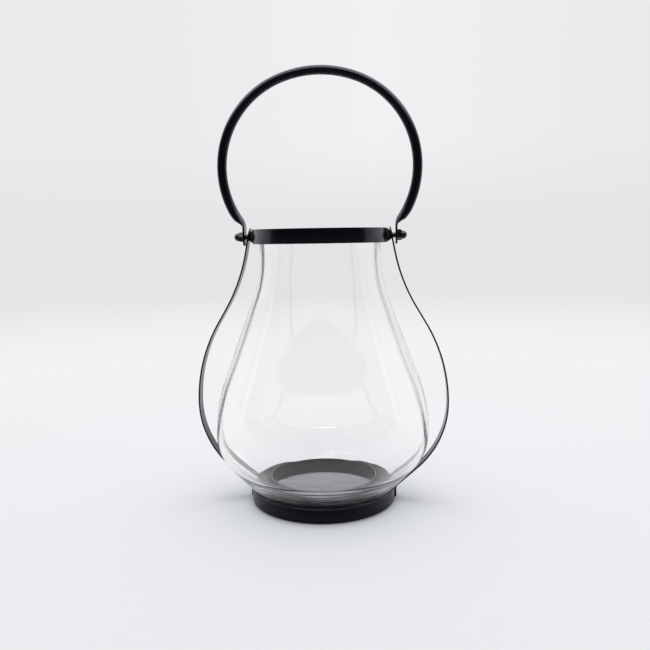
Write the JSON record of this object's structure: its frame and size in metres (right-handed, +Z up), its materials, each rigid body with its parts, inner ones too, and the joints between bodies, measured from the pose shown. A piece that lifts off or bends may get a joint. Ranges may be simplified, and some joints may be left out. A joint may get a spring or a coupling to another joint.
{
  "type": "hurricane candle lantern",
  "caption": "Candle lantern: clear pear-shaped glass shade in a shallow black pan, held by bowed side straps and a neck ring, with a swinging tube bail handle",
  "frame": {"origin": "centre of the pan's underside, on the surface the lantern stands on", "axes": "+Z up; X runs along the two pivot bolts, with a strap at each end; -Y is the front seen in the picture, a few degrees to one side"},
  "size_m": [0.193, 0.1632, 0.3274],
  "materials": {
    "frame_paint": "satin black powder coat on mild steel",
    "clear_glass": "clear blown soda-lime glass, fire-polished rims",
    "fixing_black": "gloss black plated steel fixings",
    "spacer_black": "moulded black plastic"
  },
  "bodies": {
    "frame": {"base_pan": "frame_paint", "glass_shade": "clear_glass", "neck_ring": "frame_paint", "strap_left": "frame_paint", "strap_right": "frame_paint", "taper_spacer_left": "spacer_black", "taper_spacer_right": "spacer_black", "pivot_bolt_left": "fixing_black", "pivot_bolt_right": "fixing_black", "cap_nut_left": "fixing_black", "cap_nut_right": "fixing_black"},
    "handle": {"bail_handle": "frame_paint"}
  },
  "joints": [
    {"name": "handle_swing", "type": "hinge", "parent": "frame", "child": "handle", "pos_m": [0, 0, 0.2033], "axis": [1, 0, 0], "range_deg": [-142, 142]}
  ]
}
